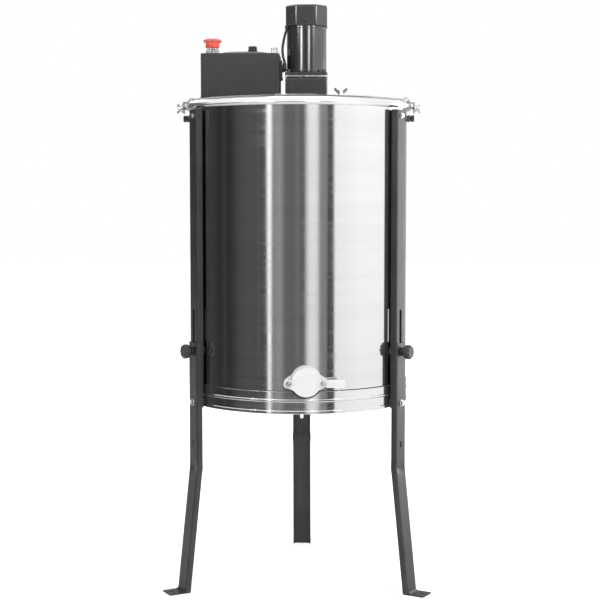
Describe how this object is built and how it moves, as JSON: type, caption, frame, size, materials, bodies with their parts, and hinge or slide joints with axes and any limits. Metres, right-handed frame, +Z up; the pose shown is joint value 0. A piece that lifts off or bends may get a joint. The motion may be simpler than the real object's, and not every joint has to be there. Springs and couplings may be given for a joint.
{
  "type": "honey extractor",
  "caption": "Upright steel barrel on bent-channel legs with a motor-driven comb cage inside, clear hinged lids, a control box on a crossbar and a swinging honey gate at the front.",
  "frame": {"origin": "on the floor, under the centre of the bounding box", "axes": "+Z up, -Y to the front where the gate is, +X to the right seen from the front"},
  "size_m": [0.5426, 0.545, 1.183],
  "materials": {
    "barrel_steel": "polished, fine vertical grain",
    "frame_steel": "satin",
    "hardware_steel": "bright",
    "cage_steel": "satin",
    "leg_paint": "satin dark grey powder coat",
    "box_paint": "matt dark grey powder coat",
    "motor_paint": "gloss near-black enamel",
    "knob_plastic": "matt",
    "black_plastic": "satin",
    "cable_sheath": "matt",
    "white_plastic": "satin",
    "button_red": "satin",
    "bright_aluminium": "turned",
    "lid_acrylic": "clear",
    "circuit_board": "lacquered",
    "rotor_metal": "varnished"
  },
  "bodies": {
    "barrel": {"barrel_shell": "barrel_steel", "barrel_floor": "barrel_steel", "base_hoop": "barrel_steel", "rim_ring": "barrel_steel", "leg_rail_left": "leg_paint", "leg_rail_right": "leg_paint", "leg_rail_back": "leg_paint", "rim_lug_left": "leg_paint", "rim_lug_right": "leg_paint", "crossbar": "frame_steel", "crossbar_leaf_front": "frame_steel", "crossbar_leaf_rear": "frame_steel", "control_box": "box_paint", "control_panel": "box_paint", "estop_collar": "bright_aluminium", "driver_board": "circuit_board", "socket_plate": "black_plastic", "cable_gland": "black_plastic", "mains_inlet": "black_plastic", "motor_cable": "cable_sheath", "fan_cover": "motor_paint", "motor_body": "motor_paint", "motor_flange": "motor_paint", "gearbox_plate": "bright_aluminium", "gearbox_housing": "motor_paint", "motor_plate": "frame_steel", "bottom_bearing": "white_plastic", "gate_body": "white_plastic", "gate_pivot_screw": "hardware_steel"},
    "leg_left": {"leg_left": "leg_paint"},
    "knob_left": {"leg_knob_left": "knob_plastic"},
    "leg_right": {"leg_right": "leg_paint"},
    "knob_right": {"leg_knob_right": "knob_plastic"},
    "leg_back": {"leg_back": "leg_paint"},
    "knob_back": {"leg_knob_back": "knob_plastic"},
    "lid_front": {"lid_front": "lid_acrylic", "lid_leaf_front": "frame_steel"},
    "lid_rear": {"lid_rear": "lid_acrylic", "lid_leaf_rear": "frame_steel"},
    "clamp_left": {"clamp_screw_left": "hardware_steel"},
    "clamp_right": {"clamp_screw_right": "hardware_steel"},
    "wing_nut": {"wing_nut": "hardware_steel"},
    "estop": {"estop_head": "button_red"},
    "speed_knob": {"speed_knob": "knob_plastic"},
    "start_button": {"start_button": "hardware_steel"},
    "cage": {"cage_shaft": "cage_steel", "coupling_sleeve": "cage_steel", "output_gear": "cage_steel", "cage_top_spider": "cage_steel", "cage_bottom_spider": "cage_steel", "cage_screen_front": "cage_steel", "cage_screen_right": "cage_steel", "cage_screen_left": "cage_steel", "cage_inner_basket": "cage_steel"},
    "armature": {"motor_armature": "rotor_metal"},
    "gate": {"gate_plate": "white_plastic"},
    "gate_clamp": {"gate_clamp_screw": "hardware_steel"}
  },
  "joints": [
    {"name": "leg_slide_left", "type": "slide", "parent": "barrel", "child": "leg_left", "axis": [0, 0, 1], "range_m": [0, 0.08]},
    {"name": "knob_turn_left", "type": "hinge", "parent": "leg_left", "child": "knob_left", "pos_m": [-0.22084, -0.15698, 0.487], "axis": [-0.866, -0.5, 0], "continuous": true},
    {"name": "leg_slide_right", "type": "slide", "parent": "barrel", "child": "leg_right", "axis": [0, 0, 1], "range_m": [0, 0.08]},
    {"name": "knob_turn_right", "type": "hinge", "parent": "leg_right", "child": "knob_right", "pos_m": [0.22084, -0.15698, 0.487], "axis": [0.866, -0.5, 0], "continuous": true},
    {"name": "leg_slide_back", "type": "slide", "parent": "barrel", "child": "leg_back", "axis": [0, 0, 1], "range_m": [0, 0.08]},
    {"name": "knob_turn_back", "type": "hinge", "parent": "leg_back", "child": "knob_back", "pos_m": [0, 0.22552, 0.487], "axis": [0, 1, 0], "continuous": true},
    {"name": "lid_hinge_front", "type": "hinge", "parent": "barrel", "child": "lid_front", "pos_m": [0, -0.08248, 0.9922], "axis": [-1, 0, 0], "range_deg": [0, 88]},
    {"name": "lid_hinge_rear", "type": "hinge", "parent": "barrel", "child": "lid_rear", "pos_m": [0, 0.02352, 0.9922], "axis": [1, 0, 0], "range_deg": [0, 88]},
    {"name": "clamp_turn_left", "type": "hinge", "parent": "barrel", "child": "clamp_left", "pos_m": [-0.245, -0.02948, 0.976], "axis": [-1, 0, 0], "continuous": true},
    {"name": "clamp_turn_right", "type": "hinge", "parent": "barrel", "child": "clamp_right", "pos_m": [0.245, -0.02948, 0.976], "axis": [1, 0, 0], "continuous": true},
    {"name": "wing_nut_turn", "type": "hinge", "parent": "barrel", "child": "wing_nut", "pos_m": [0.087, -0.02948, 1], "axis": [0, 0, 1], "continuous": true},
    {"name": "estop_press", "type": "slide", "parent": "barrel", "child": "estop", "axis": [0, 0, -1], "range_m": [0, 0.004], "stiffness_N_per_m": 1000},
    {"name": "speed_turn", "type": "hinge", "parent": "barrel", "child": "speed_knob", "pos_m": [-0.0944, -0.02948, 1.097], "axis": [0, 0, 1], "range_deg": [-270, 0]},
    {"name": "start_press", "type": "slide", "parent": "barrel", "child": "start_button", "axis": [0, 0, -1], "range_m": [0, 0.0022], "stiffness_N_per_m": 700},
    {"name": "cage_spin", "type": "hinge", "parent": "barrel", "child": "cage", "pos_m": [0, -0.02948, 0.7], "axis": [0, 0, 1], "continuous": true},
    {"name": "armature_spin", "type": "hinge", "parent": "barrel", "child": "armature", "pos_m": [0.0165, -0.02948, 1.09], "axis": [0, 0, 1], "continuous": true},
    {"name": "gate_swing", "type": "hinge", "parent": "barrel", "child": "gate", "pos_m": [-0.01208, -0.26517, 0.4366], "axis": [0.0915, -0.9958, 0], "range_deg": [0, 85]},
    {"name": "gate_clamp_turn", "type": "hinge", "parent": "barrel", "child": "gate_clamp", "pos_m": [0.05524, -0.26341, 0.4366], "axis": [0.0915, -0.9958, 0], "continuous": true}
  ],
  "couplings": [
    {"joint": "armature_spin", "follows": "cage_spin", "ratio": -2.6667}
  ]
}
